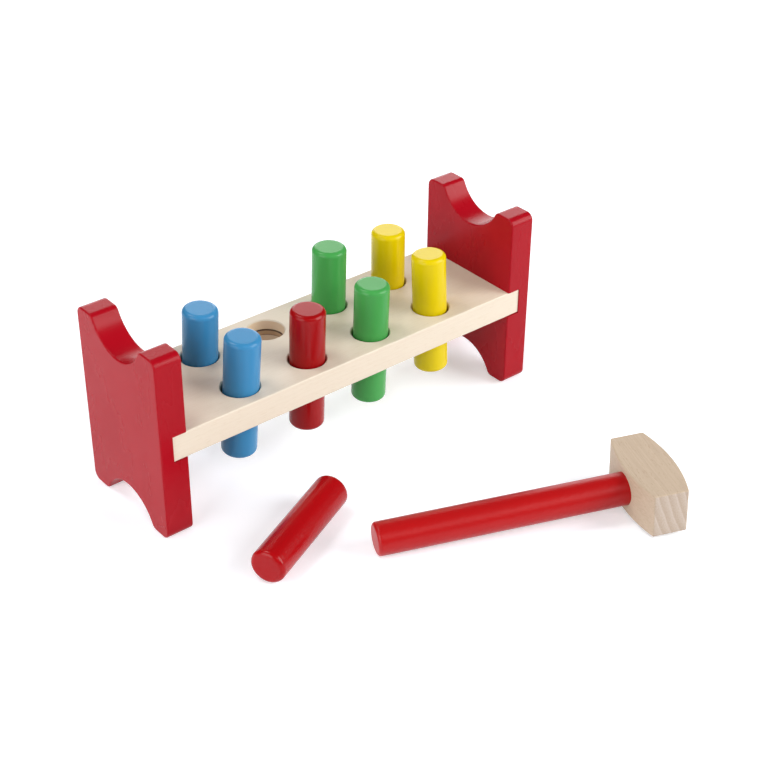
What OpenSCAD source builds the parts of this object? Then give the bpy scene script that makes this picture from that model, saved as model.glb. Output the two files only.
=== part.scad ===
// Peg pounding bench: two scalloped end boards carry a drilled plank. Each hole has a friction ring
// that grips a dowel peg, and a mallet drives the pegs through.
// X runs along the plank from left to right, Y to the back and Z up, in millimetres.
// The origin is on the floor, midway between the end boards and between their edges.

/* [End boards] */
// Length of the bench over both end boards
bench_length = 251; // [200:1:320]
// Thickness of an end board
board_thick = 15.8; // [13:0.1:20]
// Depth of an end board, front to back
board_depth = 72.2; // [66:0.1:100]
// Height of an end board
board_height = 107.8; // [96:0.1:130]
// Radius of an end board's four outer corners
corner_r = 4.5; // [3:0.5:7]
// Radius worked along an end board's edges
board_arris_r = 0.8; // [0.5:0.1:1.5]
// Width of the round scallop at the top and the arch at the bottom
scallop_width = 44; // [34:1:48]
// Depth of the scallop and of the arch
scallop_depth = 15; // [10:0.5:18]
// Radius where an ear or a foot rounds over into its scallop
ear_r = 3.5; // [2:0.5:5]

/* [Plank] */
// Thickness of the plank
plank_thick = 15.5; // [13:0.5:18]
// How far the plank's long edges stand back from the end boards' edges
plank_setback = 0.6; // [0:0.1:2]
// Radius worked along the plank's long edges
plank_arris_r = 0.8; // [0.4:0.1:1.5]
// Depth of the housing in each end board that takes the plank
housing_depth = 8.4; // [4:0.1:10]

/* [Peg holes] */
// Diameter of a hole through the plank
hole_d = 21; // [20.7:0.1:23]
// Distance between neighbouring holes along the plank
column_pitch = 43.5; // [38:0.1:48]
// Distance of each row of holes in from the end boards' edges
row_inset = 17.3; // [16:0.1:19]
// Width of the eased edge round each hole
mouth_ease = 0.6; // [0.3:0.1:1]

/* [Friction rings] */
// Height of a friction ring
ring_height = 3.6; // [2:0.1:5]
// Depth of the groove in a hole's wall that keeps the ring
groove_depth = 2; // [1:0.1:3]
// Lead-in at each end of a ring's bore
ring_lead = 0.5; // [0.2:0.1:0.9]

/* [Pegs] */
// Diameter of a peg
peg_d = 19.4; // [18:0.1:19.6]
// Length of a peg
peg_length = 72.2; // [64:0.1:80]
// Radius round the ends of a peg
peg_end_r = 2.6; // [0.5:0.1:4]
// How far the blue peg in the back row stands above the plank
blue_back_rise = 30.4; // [20:0.1:40]
// How far the blue peg in the front row stands above the plank
blue_front_rise = 31.4; // [20:0.1:40]
// How far the red peg in the front row stands above the plank
red_front_rise = 30.8; // [20:0.1:40]
// How far the green peg in the back row stands above the plank
green_back_rise = 37.3; // [20:0.1:40]
// How far the green peg in the front row stands above the plank
green_front_rise = 30.6; // [20:0.1:40]
// How far the yellow peg in the back row stands above the plank
yellow_back_rise = 33.2; // [20:0.1:40]
// How far the yellow peg in the front row stands above the plank
yellow_front_rise = 33.6; // [20:0.1:40]

/* [How the pegs lean] */
// Direction in which the standing pegs lean, from the plank's direction, in degrees
lean_heading = -60; // [-90:1:0]
// Lean of the blue peg in the back row, in degrees
blue_back_lean = 3.3; // [-4.5:0.1:4.5]
// Lean of the blue peg in the front row, in degrees
blue_front_lean = 4.3; // [-4.5:0.1:4.5]
// Lean of the red peg in the front row, in degrees
red_front_lean = 1.7; // [-4.5:0.1:4.5]
// Lean of the green peg in the back row, in degrees
green_back_lean = 1.4; // [-4.5:0.1:4.5]
// Lean of the green peg in the front row, in degrees
green_front_lean = 1.8; // [-4.5:0.1:4.5]
// Lean of the yellow peg in the back row, in degrees
yellow_back_lean = 0; // [-4.5:0.1:4.5]
// Lean of the yellow peg in the front row, in degrees
yellow_front_lean = -2.4; // [-4.5:0.1:4.5]

/* [Loose peg] */
// Distance of the loose peg's near end in front of the end boards' edges
loose_peg_ahead = 58.8; // [40:0.1:80]
// Distance of the loose peg's near end in from the bench's left end
loose_peg_in = 19.9; // [0:0.1:40]
// Heading of the loose peg from the plank's direction, in degrees
loose_peg_heading = 25.2; // [0:0.1:30]

/* [Mallet] */
// Diameter of the handle
handle_d = 18; // [15:0.5:20]
// Length of the handle outside the head
handle_reach = 136; // [110:1:160]
// Depth of the handle's socket in the head
socket_depth = 18; // [10:0.5:22]
// Radius round the free end of the handle
handle_end_r = 2; // [0.5:0.1:4]
// Length of the head between its striking faces
head_length = 57.5; // [48:0.5:70]
// Thickness of the head between its flat cheeks
head_thick = 25.4; // [23:0.1:32]
// Width of a striking face
head_end_width = 18.7; // [15:0.1:26]
// How far each long side of the head bulges past the striking faces' width
head_bulge = 4.4; // [3:0.1:8]
// Chamfer along the edges of the head's cheeks
head_chamfer = 0.8; // [0.4:0.1:2]
// Distance of the handle's free end in front of the end boards' edges
mallet_ahead = 74.1; // [60:0.1:100]
// Distance of the handle's free end in from the bench's left end
mallet_in = 76.5; // [60:0.1:100]
// Heading of the handle from the plank's direction, in degrees
mallet_heading = -23.1; // [-30:0.1:-10]
// Lean of the head about the handle as the mallet lies, in degrees
mallet_lean = 2.2; // [0:0.1:3]

/* [Clearances] */
// Glue line round the plank's ends and round the handle in its socket
glue_gap = 0.05; // [0.02:0.01:0.1]
// Room round a friction ring in its groove
ring_gap = 0.1; // [0.05:0.01:0.2]
// Least radial room between a peg and its friction ring
peg_clear = 0.04; // [0.02:0.01:0.08]

/* [Hidden] */
$fn = 96;
// How far a cutter runs past the face that it opens
past = 2;
// How far an ear's round laps into the scallop beside it, so that the two meet in a clean edge
ear_lap = 0.02;

// Places along the plank: the end boards' middles, the hole columns and the hole rows
board_x = (bench_length - board_thick) / 2;
column_x = [for (i = [-1.5 : 1.5]) i * column_pitch];
back_y = board_depth / 2 - row_inset;
front_y = -back_y;

// The bench turns over, so the plank sits at half height
plank_top = (board_height + plank_thick) / 2;
plank_length = bench_length - 2 * (board_thick - housing_depth) - 2 * glue_gap;
plank_depth = board_depth - 2 * plank_setback;

// Circle of the scallops, which would cut a board's end at the scallop's width, and the centres of the ears' rounds
scallop_r = (pow(scallop_width / 2, 2) + pow(scallop_depth, 2)) / (2 * scallop_depth);
scallop_rise = scallop_r - scallop_depth;
ear_y = sqrt(pow(scallop_r + ear_r - ear_lap, 2) - pow(scallop_rise + ear_r, 2));

// The ring stands in a groove halfway down the hole and narrows the hole to the peg that leans most
hole_r = hole_d / 2;
peg_r = peg_d / 2;
most_lean = max(
    abs(blue_back_lean), abs(blue_front_lean), abs(red_front_lean), abs(green_back_lean),
    abs(green_front_lean), abs(yellow_back_lean), abs(yellow_front_lean)
);
lean_room = (ring_height / 2 - ring_lead) * tan(most_lean) + peg_r * (1 / cos(most_lean) - 1);
ring_bore_r = peg_r + peg_clear + lean_room;
ring_outer_r = hole_r + groove_depth - ring_gap;
groove_height = ring_height + ring_gap;
groove_z = plank_top - (plank_thick + groove_height) / 2;

// Mallet: circle of the head's bulging sides, and how the mallet lies on its butt and one lower corner
handle_r = handle_d / 2;
head_width = head_end_width + 2 * head_bulge;
bulge_r = (pow(head_length / 2, 2) + pow(head_bulge, 2)) / (2 * head_bulge);
head_drop = head_thick / 2 * cos(mallet_lean) + head_length / 2 * sin(mallet_lean);
mallet_tilt = asin((head_drop - handle_r) / (handle_reach + head_bulge));
butt_z = (handle_r - handle_end_r) * cos(mallet_tilt) + handle_end_r * (1 - sin(mallet_tilt));
butt_at = [mallet_in - bench_length / 2, -board_depth / 2 - mallet_ahead, butt_z];
loose_peg_at = [loose_peg_in - bench_length / 2, -board_depth / 2 - loose_peg_ahead, peg_r];

// Paints and woods
board_red = "#B3141E";
peg_blue = "#2F7FC1";
peg_green = "#3FA047";
peg_yellow = "#F4DD14";
peg_red = "#BE1C22";
pale_wood = "#DDD0BB";
tan_wood = "#D4BFA2";
ring_brown = "#6E5846";

// Each hole: its name, column and row
HOLES = [
    ["1_back", 0, back_y],
    ["1_front", 0, front_y],
    ["2_back", 1, back_y],
    ["2_front", 1, front_y],
    ["3_back", 2, back_y],
    ["3_front", 2, front_y],
    ["4_back", 3, back_y],
    ["4_front", 3, front_y]
];

// Each standing peg: its name, column, row, height above the plank, lean and paint
PEGS = [
    ["blue_back", 0, back_y, blue_back_rise, blue_back_lean, peg_blue],
    ["blue_front", 0, front_y, blue_front_rise, blue_front_lean, peg_blue],
    ["red_front", 1, front_y, red_front_rise, red_front_lean, peg_red],
    ["green_back", 2, back_y, green_back_rise, green_back_lean, peg_green],
    ["green_front", 2, front_y, green_front_rise, green_front_lean, peg_green],
    ["yellow_back", 3, back_y, yellow_back_rise, yellow_back_lean, peg_yellow],
    ["yellow_front", 3, front_y, yellow_front_rise, yellow_front_lean, peg_yellow]
];

// Rectangle about the origin with round corners
module rounded_rectangle(width, height, r) {
    square([width - 2 * r, height], center = true);
    square([width, height - 2 * r], center = true);
    for (x = [-1, 1], y = [-1, 1]) {
        translate([x * (width / 2 - r), y * (height / 2 - r)]) circle(r);
    }
}

// Half section of a disc about the Y axis, with its rim rounded over on both faces
module disc_section(r, thick, rim_r) {
    intersection() {
        rounded_rectangle(2 * r, thick, rim_r);
        translate([0, -thick]) square([r + 1, 2 * thick]);
    }
}

// Round bar along +Z from the floor, rounded over at the lower end and, if wanted, at the upper end
module dowel(r, length, lower_r, upper_r) {
    rotate_extrude() {
        square([r - max(lower_r, upper_r), length]);
        translate([0, lower_r]) square([r, length - lower_r - upper_r]);
        intersection() {
            square([r, length]);
            union() {
                translate([r - lower_r, lower_r]) circle(lower_r);
                translate([r - upper_r, length - upper_r]) circle(upper_r);
            }
        }
    }
}

// Disc as thick as a board, lying across X, that rounds a corner of the board's outline
module corner_disc(r) {
    rotate([0, 90, 0]) rotate_extrude() disc_section(r, board_thick, board_arris_r);
}

// Board standing on the floor across X = 0: four rounded corners with the straight runs between them
module board_blank() {
    corner_y = board_depth / 2 - corner_r;
    for (y = [-corner_y, corner_y], z = [corner_r, board_height - corner_r]) {
        translate([0, y, z]) corner_disc(corner_r);
    }
    translate([0, 0, corner_r]) linear_extrude(board_height - 2 * corner_r) {
        rounded_rectangle(board_thick, board_depth, board_arris_r);
    }
    translate([0, corner_y, board_height / 2]) rotate([90, 0, 0]) linear_extrude(2 * corner_y) {
        rounded_rectangle(board_thick, board_height, board_arris_r);
    }
}

// Puts children made for a board's end, with Z = 0 on the end and +Z out of it, at the top and at the bottom
module at_both_ends() {
    translate([0, 0, board_height]) children();
    mirror([0, 0, 1]) children();
}

// Cutter for a scallop: a drum along X whose ends flare to round over the scallop's edges
module scallop_cutter() {
    translate([0, 0, scallop_rise]) rotate([0, 90, 0]) rotate_extrude() {
        translate([0, -board_thick / 2 - past]) square([scallop_r, board_thick + 2 * past]);
        for (side = [-1, 1]) scale([1, side]) difference() {
            translate([scallop_r - past, board_thick / 2 - board_arris_r]) {
                square([past + board_arris_r, board_arris_r + past]);
            }
            translate([scallop_r + board_arris_r, board_thick / 2 - board_arris_r]) circle(board_arris_r);
        }
    }
}

// Cutters for the sharp edges beside a scallop: wedges from the centres of the ears' rounds
module ear_cutters() {
    reach = 2 * ear_r / (scallop_r + ear_r);
    for (side = [-1, 1]) rotate([90, 0, 90]) linear_extrude(board_thick + 2 * past, center = true) {
        polygon([
            [side * ear_y, -ear_r],
            [side * ear_y, ear_r],
            [side * ear_y * (1 - reach), reach * (scallop_rise + ear_r) - ear_r]
        ]);
    }
}

// Rounds that take the place of the sharp edges beside a scallop
module ear_rounds() {
    for (side = [-1, 1]) translate([0, side * ear_y, -ear_r]) corner_disc(ear_r);
}

// End board with its scallop, its arch and the housing for the plank on the side that faces +X
module end_board() {
    difference() {
        union() {
            difference() {
                board_blank();
                at_both_ends() scallop_cutter();
                at_both_ends() ear_cutters();
            }
            at_both_ends() ear_rounds();
        }
        translate([board_thick / 2 - housing_depth, -board_depth / 2 - past, plank_top - plank_thick - glue_gap]) {
            cube([housing_depth + past, board_depth + 2 * past, plank_thick + 2 * glue_gap]);
        }
    }
}

module end_board_left() {
    color(board_red) translate([-board_x, 0, 0]) end_board();
}

module end_board_right() {
    color(board_red) translate([board_x, 0, 0]) mirror([1, 0, 0]) end_board();
}

// Hole through the plank with eased mouths and the ring's groove, about the Z axis
module hole_cutter() {
    translate([0, 0, plank_top - plank_thick - past]) cylinder(r = hole_r, h = plank_thick + 2 * past);
    translate([0, 0, groove_z]) cylinder(r = hole_r + groove_depth, h = groove_height);
    translate([0, 0, plank_top - mouth_ease]) cylinder(r1 = hole_r, r2 = hole_r + 2 * mouth_ease, h = 2 * mouth_ease);
    translate([0, 0, plank_top - plank_thick - mouth_ease]) {
        cylinder(r1 = hole_r + 2 * mouth_ease, r2 = hole_r, h = 2 * mouth_ease);
    }
}

module plank() {
    color(pale_wood) difference() {
        translate([-plank_length / 2, 0, plank_top - plank_thick / 2]) rotate([90, 0, 90]) {
            linear_extrude(plank_length) rounded_rectangle(plank_depth, plank_thick, plank_arris_r);
        }
        for (hole = HOLES) translate([column_x[hole[1]], hole[2], 0]) hole_cutter();
    }
}

// Ring that lies in a hole's groove, with a lead-in at both ends of its bore
module friction_ring(hole) {
    color(ring_brown) translate([column_x[hole[1]], hole[2], groove_z]) rotate_extrude() {
        polygon([
            [ring_bore_r, ring_lead],
            [ring_bore_r + ring_lead, 0],
            [ring_outer_r, 0],
            [ring_outer_r, ring_height],
            [ring_bore_r + ring_lead, ring_height],
            [ring_bore_r, ring_height - ring_lead]
        ]);
    }
}

module dowel_peg() {
    dowel(peg_r, peg_length, peg_end_r, peg_end_r);
}

// Peg driven part of the way through its hole, leaning in its ring
module standing_peg(peg) {
    color(peg[5]) translate([column_x[peg[1]], peg[2], groove_z + ring_height / 2]) rotate([0, peg[4], lean_heading]) {
        translate([0, 0, (plank_thick + ring_gap) / 2 + peg[3] - peg_length]) dowel_peg();
    }
}

module peg_red_loose() {
    color(peg_red) translate(loose_peg_at) rotate([0, 90, loose_peg_heading]) dowel_peg();
}

// Puts a mallet whose handle runs along +X from the origin where it lies on the floor
module lay_mallet() {
    translate(butt_at) rotate([-mallet_lean, -mallet_tilt, mallet_heading]) children();
}

module mallet_handle() {
    color(peg_red) lay_mallet() rotate([0, 90, 0]) dowel(handle_r, handle_reach + socket_depth, handle_end_r, 0);
}

// Wide disc with a chamfered rim, which is one bulging long side of the head: side -1 faces the handle
module bulging_side(side) {
    c = head_chamfer;
    half = head_thick / 2;
    translate([handle_reach + head_width / 2 + side * (head_width / 2 - bulge_r), 0, 0]) rotate_extrude($fn = 180) {
        polygon([[0, -half], [bulge_r - c, -half], [bulge_r, c - half], [bulge_r, half - c], [bulge_r - c, half], [0, half]]);
    }
}

// Bar along X with chamfered edges, which gives the striking faces and the cheeks
module head_bar() {
    c = head_chamfer;
    half = head_thick / 2;
    end = head_length / 2;
    translate([handle_reach - past, 0, 0]) rotate([90, 0, 90]) linear_extrude(head_width + 2 * past) {
        polygon([
            [c - end, -half], [end - c, -half], [end, c - half], [end, half - c],
            [end - c, half], [c - end, half], [-end, half - c], [-end, c - half]
        ]);
    }
}

// Head: a block with flat striking faces and cheeks, bulging long sides and a blind socket for the handle
module mallet_head() {
    color(tan_wood) lay_mallet() difference() {
        intersection() {
            bulging_side(-1);
            bulging_side(1);
            head_bar();
        }
        rotate([0, 90, 0]) cylinder(r = handle_r + glue_gap, h = handle_reach + socket_depth + glue_gap);
    }
}

end_board_left();
end_board_right();
plank();
for (hole = HOLES) friction_ring(hole);
for (peg = PEGS) standing_peg(peg);
peg_red_loose();
mallet_handle();
mallet_head();
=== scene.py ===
"""Peg pounding bench: paints, woods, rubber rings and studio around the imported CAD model."""

import math

import bmesh
import bpy
from mathutils import Euler, Matrix, Vector


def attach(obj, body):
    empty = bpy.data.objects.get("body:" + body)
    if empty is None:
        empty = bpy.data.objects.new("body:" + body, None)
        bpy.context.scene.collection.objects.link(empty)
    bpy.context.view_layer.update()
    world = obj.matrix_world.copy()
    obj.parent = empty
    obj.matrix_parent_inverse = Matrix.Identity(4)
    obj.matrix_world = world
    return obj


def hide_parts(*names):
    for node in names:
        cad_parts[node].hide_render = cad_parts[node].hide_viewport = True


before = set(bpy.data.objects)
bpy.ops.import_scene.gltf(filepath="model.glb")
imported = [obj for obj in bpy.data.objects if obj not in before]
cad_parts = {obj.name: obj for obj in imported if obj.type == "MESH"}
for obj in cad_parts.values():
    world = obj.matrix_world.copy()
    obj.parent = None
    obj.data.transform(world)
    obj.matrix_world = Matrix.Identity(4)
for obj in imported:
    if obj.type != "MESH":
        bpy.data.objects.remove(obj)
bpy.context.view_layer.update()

MM = 0.001
QUARTER_TURN = math.pi / 2
WHITE = (1, 1, 1, 1)
BLACK = (0, 0, 0, 1)

# Mallet: where the handle's free end lies, how the mallet is turned, and the head's sizes
BUTT_AT = Vector((-49.0, -110.2, 8.928)) * MM
MALLET_TURN = Euler((math.radians(-2.2), math.radians(-1.961), math.radians(-23.1)))
HANDLE_REACH = 136.0 * MM
HANDLE_R = 9.0 * MM
SOCKET_DEPTH = 18.0 * MM
HEAD_LENGTH = 57.5 * MM
HEAD_THICK = 25.4 * MM
HEAD_END_WIDTH = 18.7 * MM
HEAD_BULGE = 4.4 * MM
HEAD_ARRIS_R = 0.9 * MM
GLUE_GAP = 0.05 * MM

# How finely the head is drawn, how far outside it the socket's cutter starts, and the angle in
# degrees over which its edges stay crisp
SIDE_STEPS = 40
CORNER_STEPS = 6
SOCKET_SEGMENTS = 96
CUTTER_LEAD = 2 * MM
CRISP_ANGLE = 35

# Loose peg: heading of its axis
LOOSE_PEG_HEADING = math.radians(25.2)

# Bench: height of the rings' middle, and how far the holes reach from the plank's middle line
RING_MIDDLE = 53.85 * MM
HOLES_WITHIN_MM = 34.0

# Range that most of a noise pattern lies in
NOISE_LOW = 0.3
NOISE_HIGH = 0.7

# Studio, in metres and watts: paper floor, room, and softboxes by direction, side and power
FLOOR_RADIUS = 1.3
FLOOR_SEGMENTS = 128
FLOOR_DROP = 0.02 * MM
FLOOR_GLOW = 0.37
ROOM_LEVEL = 0.08
LAMP_DISTANCE = 2.2
LAMPS_AIM = Vector((0, 0, 0.05))
SOFTBOXES = {
    "front_softbox": ((-0.1, -0.77, 0.62), 1.0, 5),
    "right_softbox": ((0.58, -0.69, 0.42), 1.5, 53),
    "left_softbox": ((-0.9, -0.1, 0.31), 1.7, 41),
    "back_softbox": ((0.53, 0.74, 0.32), 1.4, 20),
    "top_softbox": ((-0.3, 0.4, 1.0), 0.8, 17),
}

# Camera, as solved from the photograph: place, angles in degrees, and lens on its sensor
CAMERA_AT = Vector((-450.056, -599.48, 518.255)) * MM
CAMERA_AZIMUTH = -39.698
CAMERA_ELEVATION = 33.267
CAMERA_ROLL = 0.526
LENS_MM = 74.80
SENSOR_MM = 36.0
CAMERA_NEAR = 0.01


def in_mm(*sizes):
    """Sizes given in millimetres, in metres."""
    return tuple(size * MM for size in sizes)


def along_grain(long, wide):
    """Scale of a pattern in timber, from its size in millimetres along the grain (X) and across."""
    return 1 / long, 1 / wide, 1 / wide


def linear(code):
    """Linear RGBA of an sRGB hex colour."""
    parts = [int(code[i:i + 2], 16) / 255 for i in (1, 3, 5)]
    return [c / 12.92 if c <= 0.04045 else ((c + 0.055) / 1.055) ** 2.4 for c in parts] + [1.0]


def add_node(tree, kind, sockets=None, **settings):
    """Adds a node, sets its properties, and fills its sockets with values or links."""
    node = tree.nodes.new(kind)
    for name, value in settings.items():
        setattr(node, name, value)
    for name, value in (sockets or {}).items():
        if isinstance(value, bpy.types.NodeSocket):
            tree.links.new(value, node.inputs[name])
        else:
            node.inputs[name].default_value = value
    return node


def new_material(name):
    """Empty material and its tree."""
    material = bpy.data.materials.new(name)
    material.use_nodes = True
    material.node_tree.nodes.clear()
    return material, material.node_tree


def satin_enamel(name, code, deep_code, turn=(0, 0, 0), roughness=0.22, shine=0.2, peel_mm=0.012):
    """Satin enamel, sprayed or tumbled on sanded wood. The film is smooth and even, a touch deeper
    where it is thicker, with a soft gloss. A faint orange peel, `peel_mm` deep, and the wood's
    fibres along the grain (Z, turned by `turn`) break up the reflections at close range."""
    film_patch = in_mm(20, 20, 45)
    fibre_size = in_mm(0.9, 0.9, 30)
    fibre_depth = 0.0015 * MM
    dimple_size = in_mm(2.5, 2.5, 2.5)
    gloss_spread = 0.02
    material, tree = new_material(name)
    place = add_node(tree, "ShaderNodeTexCoord").outputs["Object"]

    # Uneven film thickness, in broad patches that run with the grain
    film_at = add_node(tree, "ShaderNodeMapping",
                       {"Vector": place, "Rotation": turn, "Scale": film_patch},
                       vector_type="TEXTURE")
    film = add_node(tree, "ShaderNodeTexNoise",
                    {"Vector": film_at.outputs[0], "Scale": 1.0, "Detail": 3.0})
    film_tone = add_node(tree, "ShaderNodeMapRange",
                         {"Value": film.outputs["Fac"], "From Min": NOISE_LOW, "From Max": NOISE_HIGH})
    colour = add_node(tree, "ShaderNodeMix",
                      {"Factor": film_tone.outputs[0], "A": linear(deep_code), "B": linear(code)},
                      data_type="RGBA")

    # Wood fibres under the film, drawn wider than the real ones so that they show
    fibre_at = add_node(tree, "ShaderNodeMapping",
                        {"Vector": place, "Rotation": turn, "Scale": fibre_size},
                        vector_type="TEXTURE")
    fibre = add_node(tree, "ShaderNodeTexNoise",
                     {"Vector": fibre_at.outputs[0], "Scale": 1.0, "Detail": 2.0})

    # Orange peel, one dimple next to another
    peel_at = add_node(tree, "ShaderNodeMapping", {"Vector": place, "Scale": dimple_size},
                       vector_type="TEXTURE")
    peel = add_node(tree, "ShaderNodeTexNoise",
                    {"Vector": peel_at.outputs[0], "Scale": 1.0, "Detail": 1.0})

    # Gloss, which varies a little with the film
    gloss = add_node(tree, "ShaderNodeMapRange",
                     {"Value": film.outputs["Fac"], "From Min": NOISE_LOW, "From Max": NOISE_HIGH,
                      "To Min": roughness + gloss_spread, "To Max": roughness - gloss_spread})
    fibre_bump = add_node(tree, "ShaderNodeBump",
                          {"Height": fibre.outputs["Fac"], "Strength": 0.5, "Distance": fibre_depth})
    peel_bump = add_node(tree, "ShaderNodeBump",
                         {"Height": peel.outputs["Fac"], "Strength": 0.5, "Distance": peel_mm * MM,
                          "Normal": fibre_bump.outputs[0]})
    shader = add_node(tree, "ShaderNodeBsdfPrincipled",
                      {"Base Color": colour.outputs["Result"], "Roughness": gloss.outputs[0],
                       "IOR": 1.5, "Specular IOR Level": shine, "Normal": peel_bump.outputs[0]})
    add_node(tree, "ShaderNodeOutputMaterial", {"Surface": shader.outputs[0]})
    return material


def sanded_timber(name, early_code, late_code, fleck_code, end_code, turn, pith, ring, sway, fleck,
                  roughness, wall_tone_and_bounce_code=None):
    """Bare timber, planed or sawn and then sanded, with a thin matt sealer. Growth rings, `ring` mm
    wide, run round the pith as pale bands with a darker edge, and wander by `sway` rings. Fine
    fibres and short flecks, `fleck` mm long and wide, run along the grain (X, turned by `turn`).
    End grain is greyer and shows the rings more, and the walls of bored holes are painted warmer,
    partly the wood's own tone and partly painted bounce light from inside the holes.
    their own. The sealer leaves a dull sheen."""
    drift_size = (70, 22)
    fibre_size = (28, 0.7)
    fibre_weight, fibre_base = 0.9, -0.28
    rings_on_faces, rings_on_ends = 0.18, 0.7
    upright_below = 0.5
    bump_depth = 0.03 * MM
    gloss_spread = 0.06
    material, tree = new_material(name)
    where = add_node(tree, "ShaderNodeTexCoord")
    place = where.outputs["Object"]

    # Growth rings: distance from the pith in rings, wandering slowly along the grain
    board_at = add_node(tree, "ShaderNodeMapping",
                        {"Vector": place, "Rotation": turn, "Scale": in_mm(1, 1, 1)},
                        vector_type="TEXTURE")
    across = add_node(tree, "ShaderNodeVectorMath", {0: board_at.outputs[0], 1: (0.0, 1.0, 1.0)},
                      operation="MULTIPLY")
    radius = add_node(tree, "ShaderNodeVectorMath",
                      {0: across.outputs[0], 1: (0.0, pith[0], pith[1])}, operation="DISTANCE")
    drift_at = add_node(tree, "ShaderNodeVectorMath",
                        {0: board_at.outputs[0], 1: along_grain(*drift_size)}, operation="MULTIPLY")
    drift = add_node(tree, "ShaderNodeTexNoise",
                     {"Vector": drift_at.outputs[0], "Scale": 1.0, "Detail": 2.0})
    wander = add_node(tree, "ShaderNodeMath",
                      {0: drift.outputs["Fac"], 1: sway * ring, 2: radius.outputs["Value"]},
                      operation="MULTIPLY_ADD")
    rings = add_node(tree, "ShaderNodeMath", {0: wander.outputs[0], 1: ring}, operation="DIVIDE")
    in_ring = add_node(tree, "ShaderNodeMath", {0: rings.outputs[0]}, operation="FRACT")

    # Each ring darkens slowly to its late wood, then turns pale again at once
    band = add_node(tree, "ShaderNodeValToRGB", {"Fac": in_ring.outputs[0]})
    band.color_ramp.interpolation = "B_SPLINE"
    band.color_ramp.elements[0].position = 0.1
    band.color_ramp.elements[0].color = BLACK
    band.color_ramp.elements[1].position = 0.82
    band.color_ramp.elements[1].color = WHITE
    band.color_ramp.elements.new(0.97).color = BLACK

    # Fibres, drawn wider than the real ones so that they show
    fibre_at = add_node(tree, "ShaderNodeVectorMath",
                        {0: board_at.outputs[0], 1: along_grain(*fibre_size)}, operation="MULTIPLY")
    fibre = add_node(tree, "ShaderNodeTexNoise",
                     {"Vector": fibre_at.outputs[0], "Scale": 1.0, "Detail": 3.0, "Roughness": 0.6})

    # Short flecks and pores along the grain
    fleck_at = add_node(tree, "ShaderNodeVectorMath",
                        {0: board_at.outputs[0], 1: along_grain(*fleck)}, operation="MULTIPLY")
    specks = add_node(tree, "ShaderNodeTexNoise",
                      {"Vector": fleck_at.outputs[0], "Scale": 1.0, "Detail": 1.0})
    fleck_mask = add_node(tree, "ShaderNodeMapRange",
                          {"Value": specks.outputs["Fac"], "From Min": 0.6, "From Max": 0.75,
                           "To Max": 0.5})

    # End grain shows the rings far more strongly than the long faces
    grain = Euler(turn).to_matrix() @ Vector((1, 0, 0))
    facing = add_node(tree, "ShaderNodeVectorMath", {0: where.outputs["Normal"], 1: grain},
                      operation="DOT_PRODUCT")
    end_on = add_node(tree, "ShaderNodeMath", {0: facing.outputs["Value"]}, operation="ABSOLUTE")
    contrast = add_node(tree, "ShaderNodeMapRange",
                        {"Value": end_on.outputs[0], "From Min": 0.6, "From Max": 0.95,
                         "To Min": rings_on_faces, "To Max": rings_on_ends})

    # Sanded end grain looks greyer than the long faces
    end_mask = add_node(tree, "ShaderNodeMapRange",
                        {"Value": end_on.outputs[0], "From Min": 0.85, "From Max": 0.98})
    early = add_node(tree, "ShaderNodeMix",
                     {"Factor": end_mask.outputs[0], "A": linear(early_code), "B": linear(end_code)},
                     data_type="RGBA")

    # Tone: rings and fibres together, then the flecks over them
    tone = add_node(tree, "ShaderNodeMath",
                    {0: fibre.outputs["Fac"], 1: fibre_weight, 2: fibre_base},
                    operation="MULTIPLY_ADD")
    depth = add_node(tree, "ShaderNodeMath",
                     {0: band.outputs["Color"], 1: contrast.outputs[0], 2: tone.outputs[0]},
                     operation="MULTIPLY_ADD", use_clamp=True)
    wood = add_node(tree, "ShaderNodeMix",
                    {"Factor": depth.outputs[0], "A": early.outputs["Result"], "B": linear(late_code)},
                    data_type="RGBA")
    colour = add_node(tree, "ShaderNodeMix",
                      {"Factor": fleck_mask.outputs[0], "A": wood.outputs["Result"],
                       "B": linear(fleck_code)}, data_type="RGBA")

    if wall_tone_and_bounce_code:
        # Walls of the bored holes: upright faces inside the plank's long edges, painted warmer, partly
        # the wood's own tone and partly painted bounce light from inside the holes
        upright = add_node(tree, "ShaderNodeSeparateXYZ", {0: where.outputs["Normal"]})
        level = add_node(tree, "ShaderNodeMath", {0: upright.outputs["Z"]}, operation="ABSOLUTE")
        wall = add_node(tree, "ShaderNodeMath", {0: level.outputs[0], 1: upright_below},
                        operation="LESS_THAN")
        at = add_node(tree, "ShaderNodeSeparateXYZ", {0: board_at.outputs[0]})
        off_middle = add_node(tree, "ShaderNodeMath", {0: at.outputs["Y"]}, operation="ABSOLUTE")
        inside = add_node(tree, "ShaderNodeMath", {0: off_middle.outputs[0], 1: HOLES_WITHIN_MM},
                          operation="LESS_THAN")
        hole = add_node(tree, "ShaderNodeMath", {0: wall.outputs[0], 1: inside.outputs[0]},
                        operation="MULTIPLY")
        colour = add_node(tree, "ShaderNodeMix",
                          {"Factor": hole.outputs[0], "A": colour.outputs["Result"],
                           "B": linear(wall_tone_and_bounce_code)}, data_type="RGBA")

    gloss = add_node(tree, "ShaderNodeMapRange",
                     {"Value": fibre.outputs["Fac"], "From Min": NOISE_LOW, "From Max": NOISE_HIGH,
                      "To Min": roughness - gloss_spread, "To Max": roughness + gloss_spread})
    fibre_bump = add_node(tree, "ShaderNodeBump",
                          {"Height": fibre.outputs["Fac"], "Strength": 0.35, "Distance": bump_depth})
    fleck_bump = add_node(tree, "ShaderNodeBump",
                          {"Height": specks.outputs["Fac"], "Strength": 0.3, "Distance": bump_depth,
                           "Normal": fibre_bump.outputs[0]}, invert=True)
    shader = add_node(tree, "ShaderNodeBsdfPrincipled",
                      {"Base Color": colour.outputs["Result"], "Roughness": gloss.outputs[0],
                       "IOR": 1.45, "Normal": fleck_bump.outputs[0]})
    add_node(tree, "ShaderNodeOutputMaterial", {"Surface": shader.outputs[0]})
    return material


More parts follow.
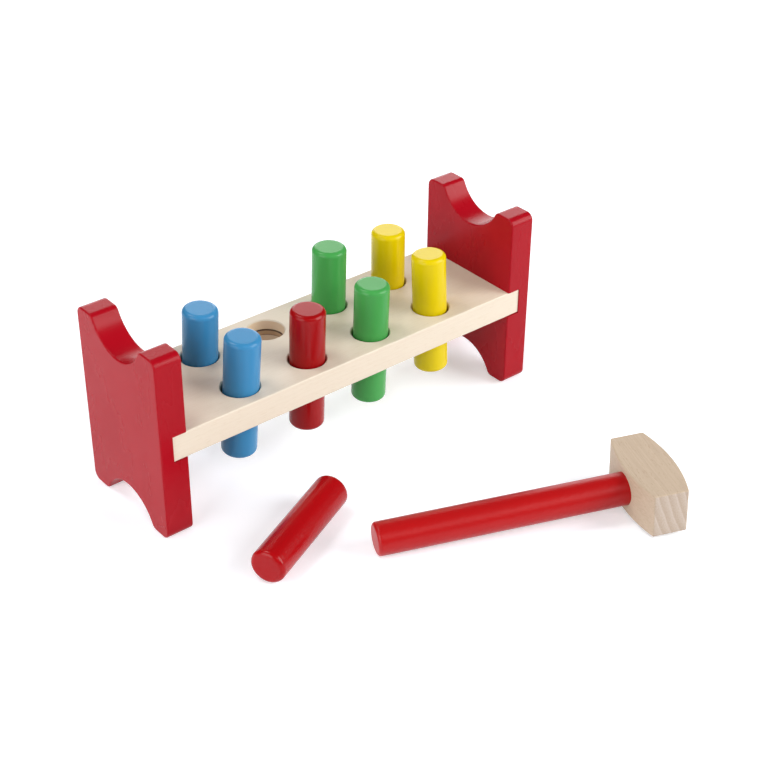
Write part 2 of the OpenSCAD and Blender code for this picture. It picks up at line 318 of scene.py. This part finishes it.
def moulded_rubber(name, code, bloom_code, groove_shadow_code):
    """Brown rubber, moulded: dull, with a greyer bloom in patches and a fine grain from the mould.
    The ring's upper and lower edges are darkened as a painted shadow, where the groove would shade
    them, and draw two thin lines round the hole."""
    bloom_patch = in_mm(3, 3, 3)
    mould_grain = in_mm(0.3, 0.3, 0.3)
    grain_depth = 0.03 * MM
    shadow_starts, shadow_full = in_mm(1.0, 1.5)
    material, tree = new_material(name)
    place = add_node(tree, "ShaderNodeTexCoord").outputs["Object"]

    # Bloom, in small patches
    bloom_at = add_node(tree, "ShaderNodeMapping", {"Vector": place, "Scale": bloom_patch},
                        vector_type="TEXTURE")
    bloom = add_node(tree, "ShaderNodeTexNoise",
                     {"Vector": bloom_at.outputs[0], "Scale": 1.0, "Detail": 4.0})
    band = add_node(tree, "ShaderNodeMix",
                    {"Factor": bloom.outputs["Fac"], "A": linear(code), "B": linear(bloom_code)},
                    data_type="RGBA")

    # Painted shadow: the ring's upper and lower edges darkened by height from the ring's middle, where
    # the groove would shade them
    at = add_node(tree, "ShaderNodeSeparateXYZ", {0: place})
    off_middle = add_node(tree, "ShaderNodeMath", {0: at.outputs["Z"], 1: RING_MIDDLE},
                          operation="SUBTRACT")
    from_middle = add_node(tree, "ShaderNodeMath", {0: off_middle.outputs[0]}, operation="ABSOLUTE")
    groove_shadow = add_node(tree, "ShaderNodeMapRange",
                    {"Value": from_middle.outputs[0], "From Min": shadow_starts, "From Max": shadow_full})
    colour = add_node(tree, "ShaderNodeMix",
                      {"Factor": groove_shadow.outputs[0], "A": band.outputs["Result"], "B": linear(groove_shadow_code)},
                      data_type="RGBA")

    # Grain of the mould
    grain_at = add_node(tree, "ShaderNodeMapping", {"Vector": place, "Scale": mould_grain},
                        vector_type="TEXTURE")
    grain = add_node(tree, "ShaderNodeTexNoise",
                     {"Vector": grain_at.outputs[0], "Scale": 1.0, "Detail": 1.0})
    bump = add_node(tree, "ShaderNodeBump",
                    {"Height": grain.outputs["Fac"], "Strength": 0.4, "Distance": grain_depth})
    shader = add_node(tree, "ShaderNodeBsdfPrincipled",
                      {"Base Color": colour.outputs["Result"], "Roughness": 0.75, "IOR": 1.52,
                       "Normal": bump.outputs[0]})
    add_node(tree, "ShaderNodeOutputMaterial", {"Surface": shader.outputs[0]})
    return material


def studio_paper(name, code, tooth_code):
    """White paper, matt: for the camera and in reflections it is topped up to white, so that only
    shadows show on it. Its tooth is drawn coarser than the real one so that it shows."""
    tooth_size = in_mm(4, 4, 4)
    material, tree = new_material(name)
    place = add_node(tree, "ShaderNodeTexCoord").outputs["Object"]
    tooth_at = add_node(tree, "ShaderNodeMapping", {"Vector": place, "Scale": tooth_size},
                        vector_type="TEXTURE")
    tooth = add_node(tree, "ShaderNodeTexNoise",
                     {"Vector": tooth_at.outputs[0], "Scale": 1.0, "Detail": 2.0})
    colour = add_node(tree, "ShaderNodeMix",
                      {"Factor": tooth.outputs["Fac"], "A": linear(code), "B": linear(tooth_code)},
                      data_type="RGBA")
    paper = add_node(tree, "ShaderNodeBsdfDiffuse", {"Color": colour.outputs["Result"]})
    seen = add_node(tree, "ShaderNodeLightPath")
    direct = add_node(tree, "ShaderNodeMath",
                      {0: seen.outputs["Is Camera Ray"], 1: seen.outputs["Is Glossy Ray"]},
                      operation="MAXIMUM")
    shown = add_node(tree, "ShaderNodeMath",
                     {0: direct.outputs[0], 1: seen.outputs["Is Transmission Ray"]},
                     operation="MAXIMUM")
    strength = add_node(tree, "ShaderNodeMath", {0: shown.outputs[0], 1: FLOOR_GLOW},
                        operation="MULTIPLY")
    top_up = add_node(tree, "ShaderNodeEmission", {"Color": WHITE, "Strength": strength.outputs[0]})
    both = add_node(tree, "ShaderNodeAddShader", {0: paper.outputs[0], 1: top_up.outputs[0]})
    add_node(tree, "ShaderNodeOutputMaterial", {"Surface": both.outputs[0]})
    return material


def arc(centre, r, start, end, steps):
    """Points of an arc with their normals, angles in degrees: (u, v, normal u, normal v)."""
    points = []
    for i in range(steps + 1):
        a = math.radians(start + (end - start) * i / steps)
        c, s = math.cos(a), math.sin(a)
        points.append((centre[0] + r * c, centre[1] + r * s, c, s))
    return points


def eased_block(name, outline, thick, ease):
    """Block of an outline (x, y, normal x, normal y) about z = 0, its two faces rounded over into
    the sides by `ease`."""
    profile = []
    for i in range(CORNER_STEPS + 1):
        t = math.radians(90 * i / CORNER_STEPS)
        profile.append((ease * (1 - math.sin(t)), -thick / 2 + ease * (1 - math.cos(t))))
    profile += [(inset, -z) for inset, z in reversed(profile)]
    mesh = bmesh.new()
    loops = []
    for inset, z in profile:
        loops.append([mesh.verts.new((x - inset * nx, y - inset * ny, z)) for x, y, nx, ny in outline])
    close_loops(mesh, loops)
    return finish_mesh(name, mesh)


def turned(name, profile, segments):
    """Solid of revolution of a profile (x, r) about the x axis, closed at both ends."""
    turns = [2 * math.pi * i / segments for i in range(segments)]
    mesh = bmesh.new()
    loops = []
    for x, r in profile:
        loops.append([mesh.verts.new((x, r * math.cos(a), r * math.sin(a))) for a in turns])
    close_loops(mesh, loops)
    return finish_mesh(name, mesh)


def close_loops(mesh, loops):
    """Skins loops of vertices one after another and caps both ends."""
    count = len(loops[0])
    for a, b in zip(loops, loops[1:]):
        for i in range(count):
            j = (i + 1) % count
            mesh.faces.new((a[i], a[j], b[j], b[i]))
    mesh.faces.new(loops[0][::-1])
    mesh.faces.new(loops[-1])
    bmesh.ops.recalc_face_normals(mesh, faces=mesh.faces)


def finish_mesh(name, mesh):
    """Object from a bmesh."""
    data = bpy.data.meshes.new(name)
    mesh.to_mesh(data)
    mesh.free()
    return placed(name, data)


def placed(name, data):
    """New object in the scene, for a mesh, a lamp or a camera."""
    piece = bpy.data.objects.new(name, data)
    bpy.context.scene.collection.objects.link(piece)
    return piece


def cut(piece, cutter):
    """Cuts the cutter's shape out of a piece and removes the cutter."""
    step = piece.modifiers.new("cut", "BOOLEAN")
    step.operation = "DIFFERENCE"
    step.solver = "EXACT"
    step.object = cutter
    bpy.context.view_layer.update()
    evaluated = piece.evaluated_get(bpy.context.evaluated_depsgraph_get())
    result = bpy.data.meshes.new_from_object(evaluated)
    piece.modifiers.clear()
    old = piece.data
    piece.data = result
    result.name = piece.name
    bpy.data.meshes.remove(old)
    bpy.data.objects.remove(cutter)


def smooth(piece, angle):
    """Smooth shading with edges over the angle kept crisp, and flat faces kept flat."""
    piece.data.shade_smooth()
    piece.data.set_sharp_from_angle(angle=math.radians(angle))
    weighted = piece.modifiers.new("flat_faces", "WEIGHTED_NORMAL")
    weighted.keep_sharp = True


def head_outline():
    """Outline of the head in (x along the handle, y along the strike), anticlockwise: two bulging
    sides and two flat ends, with rounded corners."""
    width = HEAD_END_WIDTH + 2 * HEAD_BULGE
    half = HEAD_LENGTH / 2
    r = (half ** 2 + HEAD_BULGE ** 2) / (2 * HEAD_BULGE)
    centre_x = width / 2 - r
    corner = HEAD_ARRIS_R
    corner_x = centre_x + math.sqrt((r - corner) ** 2 - (half - corner) ** 2)
    meet = math.degrees(math.atan2(half - corner, corner_x - centre_x))
    side = arc((centre_x, 0), r, -meet, meet, SIDE_STEPS)[1:-1]
    corner_up = arc((corner_x, half - corner), corner, meet, 90, CORNER_STEPS)
    corner_down = [(x, -y, nx, -ny) for x, y, nx, ny in reversed(corner_up)]
    right = corner_down + side + corner_up
    left = [(-x, -y, -nx, -ny) for x, y, nx, ny in right]
    middle = HANDLE_REACH + width / 2
    return [(x + middle, y, nx, ny) for x, y, nx, ny in right + left]


def mallet_head():
    """Head in place of its CAD node, lying as the mallet lies, with rounded edges and the handle's
    socket bored in."""
    head = eased_block("mallet_head_block", head_outline(), HEAD_THICK, HEAD_ARRIS_R)
    bore = HANDLE_R + GLUE_GAP
    socket = [(-CUTTER_LEAD, bore), (SOCKET_DEPTH + GLUE_GAP, bore)]
    cut(head, turned("socket_cutter", [(HANDLE_REACH + x, r) for x, r in socket], SOCKET_SEGMENTS))
    smooth(head, CRISP_ANGLE)
    head.matrix_world = Matrix.Translation(BUTT_AT) @ MALLET_TURN.to_matrix().to_4x4()
    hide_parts("mallet_head")
    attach(head, "mallet")
    return head


def finish(piece, material):
    """Gives a piece or a CAD node its material."""
    piece.data.materials.clear()
    piece.data.materials.append(material)


def studio_floor():
    """Round paper floor, a hair below the boards' feet."""
    mesh = bmesh.new()
    bmesh.ops.create_circle(mesh, cap_ends=True, segments=FLOOR_SEGMENTS, radius=FLOOR_RADIUS)
    floor = finish_mesh("studio_floor", mesh)
    floor.location.z = -FLOOR_DROP
    finish(floor, studio_paper("white_paper_floor", "#E8ECF2", "#ECEFF4"))


def studio_world():
    """Dim, even room, and plain white where the camera looks past the floor."""
    world = bpy.data.worlds.new("studio")
    bpy.context.scene.world = world
    world.use_nodes = True
    tree = world.node_tree
    tree.nodes.clear()
    seen = add_node(tree, "ShaderNodeLightPath")
    shown = add_node(tree, "ShaderNodeMix",
                     {"Factor": seen.outputs["Is Camera Ray"], "A": ROOM_LEVEL, "B": 1.0})
    background = add_node(tree, "ShaderNodeBackground",
                          {"Color": WHITE, "Strength": shown.outputs[0]})
    add_node(tree, "ShaderNodeOutputWorld", {"Surface": background.outputs[0]})


def softbox(name, towards, side, power):
    """Square softbox in a direction from the bench, facing it."""
    data = bpy.data.lights.new(name, "AREA")
    data.shape = "SQUARE"
    data.size = side
    data.energy = power
    lamp = placed(name, data)
    towards = Vector(towards).normalized()
    lamp.location = towards * LAMP_DISTANCE + LAMPS_AIM
    lamp.rotation_euler = (-towards).to_track_quat("-Z", "Y").to_euler()


def studio_camera():
    """Camera where the photograph was taken, to the left of the front and looking down."""
    azimuth, elevation, roll = map(math.radians, (CAMERA_AZIMUTH, CAMERA_ELEVATION, CAMERA_ROLL))
    back = Vector((math.sin(azimuth) * math.cos(elevation),
                   -math.cos(azimuth) * math.cos(elevation),
                   math.sin(elevation)))
    level = Vector((0, 0, 1)).cross(back).normalized()
    plumb = back.cross(level)
    right = level * math.cos(roll) + plumb * math.sin(roll)
    up = plumb * math.cos(roll) - level * math.sin(roll)
    data = bpy.data.cameras.new("camera")
    data.sensor_width = SENSOR_MM
    data.lens = LENS_MM
    data.clip_start = CAMERA_NEAR
    camera = placed("camera", data)
    turn = Matrix((right, up, back)).transposed()
    camera.matrix_world = Matrix.Translation(CAMERA_AT) @ turn.to_4x4()
    bpy.context.scene.camera = camera


handle_turn = MALLET_TURN.to_matrix() @ Euler((0, QUARTER_TURN, 0)).to_matrix()
head_beech = sanded_timber(
    "beech_sawn_and_sanded", early_code="#C1AD96", late_code="#A48D77", fleck_code="#A08469",
    end_code="#C4B5A8", turn=(0, 0, QUARTER_TURN), pith=(-310.0, 55.0), ring=4.6, sway=0.55,
    fleck=(2.6, 0.5), roughness=0.55)

# Finish of each CAD node, by how its name starts: the first that fits counts
node_finishes = {
    "end_board": satin_enamel("red_enamel_sprayed_on_board", "#A30A1A", "#9D0918",
                              roughness=0.27, shine=0.13),
    "plank": sanded_timber(
        "birch_planed_and_sanded", early_code="#DFD2BF", late_code="#D7C7B1", fleck_code="#CFBDA3",
        end_code="#DCCFBB", turn=(0, 0, 0), pith=(34.0, -70.0), ring=2.6, sway=2.2,
        # The bored walls' warmer colour is partly painted bounce light from inside the holes
        fleck=(5.0, 0.45), roughness=0.5, wall_tone_and_bounce_code="#E3CBAC"),
    # The rubber's last colour is the painted shadow along the rings' upper and lower edges
    "friction_ring": moulded_rubber("brown_rubber_moulded", "#AA8A66", "#B69674", "#4A3624"),
    "peg_blue": satin_enamel("blue_enamel_tumbled_on_dowel", "#3E87B6", "#3982B1"),
    "peg_green": satin_enamel("green_enamel_tumbled_on_dowel", "#469B4D", "#419648"),
    "peg_yellow": satin_enamel("yellow_enamel_tumbled_on_dowel", "#D9C103", "#D5BC02"),
    "peg_red_loose": satin_enamel("red_enamel_on_loose_dowel", "#A5080E", "#9F070D",
                                  turn=(0, QUARTER_TURN, LOOSE_PEG_HEADING), shine=0.19,
                                  peel_mm=0.18),
    "peg_red": satin_enamel("red_enamel_tumbled_on_dowel", "#9A080C", "#94070B"),
    "mallet_handle": satin_enamel("red_enamel_on_handle", "#AC090C", "#A6080B",
                                  turn=tuple(handle_turn.to_euler()), roughness=0.36, shine=0.3,
                                  peel_mm=0.28),
    "mallet_head": head_beech,
}

finish(mallet_head(), head_beech)
for name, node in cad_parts.items():
    finish(node, next(node_finishes[start] for start in node_finishes if name.startswith(start)))

studio_floor()
studio_world()
for name, (towards, side, power) in SOFTBOXES.items():
    softbox(name, towards, side, power)
studio_camera()
bpy.context.scene.view_settings.view_transform = "Standard"
